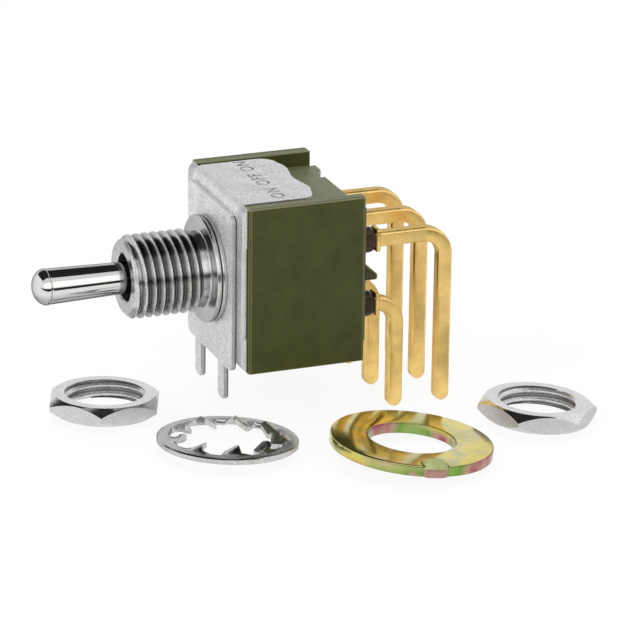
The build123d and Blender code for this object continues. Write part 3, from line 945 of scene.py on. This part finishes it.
def locking_ring():
    """A flat ring with rounded edges and a pressed tab at its rim, which a crease with painted shade runs
    round.
    """
    outer = 6.075
    bore = 3.25
    thick = 0.85
    tab_start, tab_end = 4.85, 6.36
    half_tab = 1.0
    tab_corner = 0.56
    bend_level = 0.62
    crease_end = 6.05
    crease_corner = 0.62
    # Each is (level, growth of the outline): the tab's domed wall from the foot up, and the crease's rim
    tab_levels = ((0.02, -0.10), (0.06, -0.03), (0.14, 0.0), (0.5, 0.0), (0.68, -0.02), (0.83, -0.07),
                  (0.96, -0.15), (1.07, -0.26), (1.14, -0.38), (1.18, -0.52), (1.19, -0.64))
    crease_levels = ((0.84, -0.14), (0.868, -0.12), (0.868, 0.0), (0.84, 0.03))
    bm = bmesh.new()

    def outline(grow, end, corner, end_corner, level):
        """A ring of vertices in the tab's shape, grown on every side but the end."""
        plan = rounded([
            (tab_start - grow, -half_tab - grow, corner), (end, -half_tab - grow, end_corner),
            (end, half_tab + grow, end_corner), (tab_start - grow, half_tab + grow, corner)], 6, closed=True)
        return [bm.verts.new((point.x, point.y, level)) for point in plan]

    def paint(first, choose):
        for face in list(bm.faces)[first:]:
            face.material_index = choose(face)

    profile = rounded([
        (bore, 0, 0.06), (outer, 0, 0.10), (outer, thick, 0.14), (bore, thick, 0.09)], 4, closed=True)
    lathe(bm, profile, 160, closed=True)
    bm.transform(Matrix.Rotation(math.pi / 2, 4, "X"))
    rose, green, crease = 1, 2, 3
    tab_from = len(bm.faces)
    tab = []
    for level, grow in tab_levels:
        corner = tab_corner + 0.8 * grow
        tab.append(outline(grow, tab_end + grow, corner, corner, level))
    capped(bm, tab)
    paint(tab_from, lambda face: green if face.calc_center_median().z > bend_level else rose)
    crease_from = len(bm.faces)
    skin(bm, [outline(grow, crease_end, crease_corner, 0.1, level) for level, grow in crease_levels])
    # The crease takes the near-black as painted shade.
    paint(crease_from, lambda face: crease)
    finish = (passivate((14.85, 11.25, -10.0), bore, outer), rose_film, green_film, painted_crease_shade)
    finish_piece(bm, "tabbed_ring", "housing", finish, "locking_ring", sharp=50.0,
                 place=laid(14.85, 11.25, -5.3, -6.1, -0.75, outer))


# A loose nut's place is x, y, the turn, and the leans about X and Y

lever()
bushing()
for row_name in row_levels:
    for column_name in columns:
        terminal(column_name, row_name)
        seal(column_name, row_name)
bracket()
stamped_frame()
case()
inner_pieces()
for row_name in row_levels:
    coil(row_name)
hex_nut("plated_nut_left", "hex_nut_left", (-0.8, -7.3, -21.5, -2.0, -2.6))
hex_nut("plated_nut_right", "hex_nut_right", (11.55, 22.85, 17.8, -4.5, -0.9))
lock_washer()
locking_ring()


# Floor, world, cards, lights and camera

def emptied(owner):
    """A material's or a world's node tree with nothing in it."""
    owner.use_nodes = True
    owner.node_tree.nodes.clear()
    return owner.node_tree


def backdrop_share(tree):
    """One for rays that see the background: camera, mirror and clear-glass rays."""
    path = add(tree, "LightPath").outputs
    seen = maths(tree, "MAXIMUM", path["Is Camera Ray"], path["Is Glossy Ray"])
    return maths(tree, "MAXIMUM", seen, path["Is Transmission Ray"])


def sheet(name, corners, material):
    """A flat stage piece with four corners, in metres."""
    mesh = bpy.data.meshes.new(name)
    mesh.from_pydata(corners, [], [(0, 1, 2, 3)])
    mesh.materials.append(material)
    piece = bpy.data.objects.new(name, mesh)
    scene.collection.objects.link(piece)
    return piece


def floor():
    """A floor that takes the shadow and otherwise glows as the white backdrop does."""
    glow_share = 0.9
    size = 1.2
    level = floor_level * MM
    material = bpy.data.materials.new("studio_floor")
    tree = emptied(material)
    seen = backdrop_share(tree)
    matt = add(tree, "BsdfDiffuse", {"Color": (0.86, 0.86, 0.86, 1)}).outputs[0]
    glow = add(tree, "Emission", {"Color": (1, 1, 1, 1), "Strength": 1.0}).outputs[0]
    mix = add(tree, "MixShader", {0: maths(tree, "MULTIPLY", seen, glow_share), 1: matt, 2: glow})
    tree.links.new(mix.outputs[0], add(tree, "OutputMaterial").inputs["Surface"])
    corners = [(-size, -size, level), (size, -size, level), (size, size, level), (-size, size, level)]
    sheet("studio_floor", corners, material)


def world():
    """White to what sees it, and dimmer as a light."""
    backdrop = bpy.data.worlds.new("studio")
    tree = emptied(backdrop)
    ambient = add(tree, "Background", {"Color": (1, 1, 1, 1), "Strength": 0.35}).outputs[0]
    white = add(tree, "Background", {"Color": (1, 1, 1, 1), "Strength": 1.0}).outputs[0]
    mix = add(tree, "MixShader", {0: backdrop_share(tree), 1: ambient, 2: white})
    tree.links.new(mix.outputs[0], add(tree, "OutputWorld").inputs["Surface"])
    scene.world = backdrop


def card(name, corners, strength):
    """A sheet that only mirror reflections see: dark, or bright as a softbox's face."""
    material = bpy.data.materials.new(name)
    tree = emptied(material)
    glow = add(tree, "Emission", {"Color": (1, 1, 1, 1), "Strength": strength})
    tree.links.new(glow.outputs[0], add(tree, "OutputMaterial").inputs["Surface"])
    piece = sheet(name, corners, material)
    piece.visible_camera = False
    piece.visible_diffuse = False
    piece.visible_shadow = False
    piece.visible_transmission = False


def long_card(name, start, end, strength, reach=0.5):
    """A card that runs along Y, from one (x, z) to another."""
    card(name, [(start[0], -reach, start[1]), (start[0], reach, start[1]),
                (end[0], reach, end[1]), (end[0], -reach, end[1])], strength)


def ceiling_cards():
    """The dark ceiling that the lever and thread mirror, with a slanted end and a dimmer strip beyond it."""
    rear, front = 0.095, -0.2
    for name, level, strength, (near_front, near_rear, far_rear, far_front) in (
            ("dark_ceiling", 0.15, 0.02, (0.048, 0.048, -0.15, -0.333)),
            ("dim_ceiling", 0.151, 0.5, (-0.333, -0.15, -0.22, -0.41))):
        card(name, [(near_front, front, level), (near_rear, rear, level), (far_rear, rear, level),
                    (far_front, front, level)], strength)


def softbox(name, place, width, height, power):
    """An area light that faces the switch and isn't seen in mirrors."""
    lamp = bpy.data.lights.new(name, "AREA")
    lamp.shape = "RECTANGLE"
    lamp.size = width
    lamp.size_y = height
    lamp.energy = power
    box = bpy.data.objects.new(name, lamp)
    box.location = place
    box.rotation_euler = (-Vector(place)).to_track_quat("-Z", "Y").to_euler()
    box.visible_camera = False
    box.visible_glossy = False
    scene.collection.objects.link(box)


def camera():
    """The photo's view, fitted to its outline: a long lens 300 mm away, shifted and rolled a little."""
    azimuth, elevation, roll = (math.radians(value) for value in (68.50, 20.56, 0.77))
    shift_across, shift_down, distance = 8.30, 3.95, 300.27
    aim = Vector((0, 0.8, 0))
    forward = Vector((-math.sin(azimuth) * math.cos(elevation), math.cos(azimuth) * math.cos(elevation),
                      -math.sin(elevation)))
    right = Vector((math.cos(azimuth), math.sin(azimuth), 0))
    up = right.cross(forward)
    across = right * math.cos(roll) + up * math.sin(roll)
    upward = up * math.cos(roll) - right * math.sin(roll)
    place = across * shift_across - upward * shift_down - forward * distance + aim
    view = bpy.data.cameras.new("product_view")
    view.lens = 225
    view.sensor_width = 36
    view.clip_start = 0.01
    view.clip_end = 10
    holder = bpy.data.objects.new("product_view", view)
    turn = Matrix((across, upward, -forward)).transposed().to_4x4()
    holder.matrix_world = Matrix.Translation(place * MM) @ turn
    scene.collection.objects.link(holder)
    scene.camera = holder


floor()
world()
ceiling_cards()
long_card("dark_edge", (0.055, -0.011), (0.055, 0.005), 0.02, 0.3)
long_card("bright_front", (0.30, 0.050), (0.30, 0.30), 1.35)
long_card("bright_upper", (0.30, 0.30), (0.09, 0.30), 0.85)
softbox("front_softbox", (0.34, -0.02, 0.26), 0.5, 0.45, 0.8)
softbox("top_softbox", (-0.12, 0.05, 0.45), 0.4, 0.4, 1.5)
softbox("lever_softbox", (0.05, -0.40, 0.2), 0.3, 0.3, 1.0)
camera()
scene.view_settings.view_transform = "Standard"
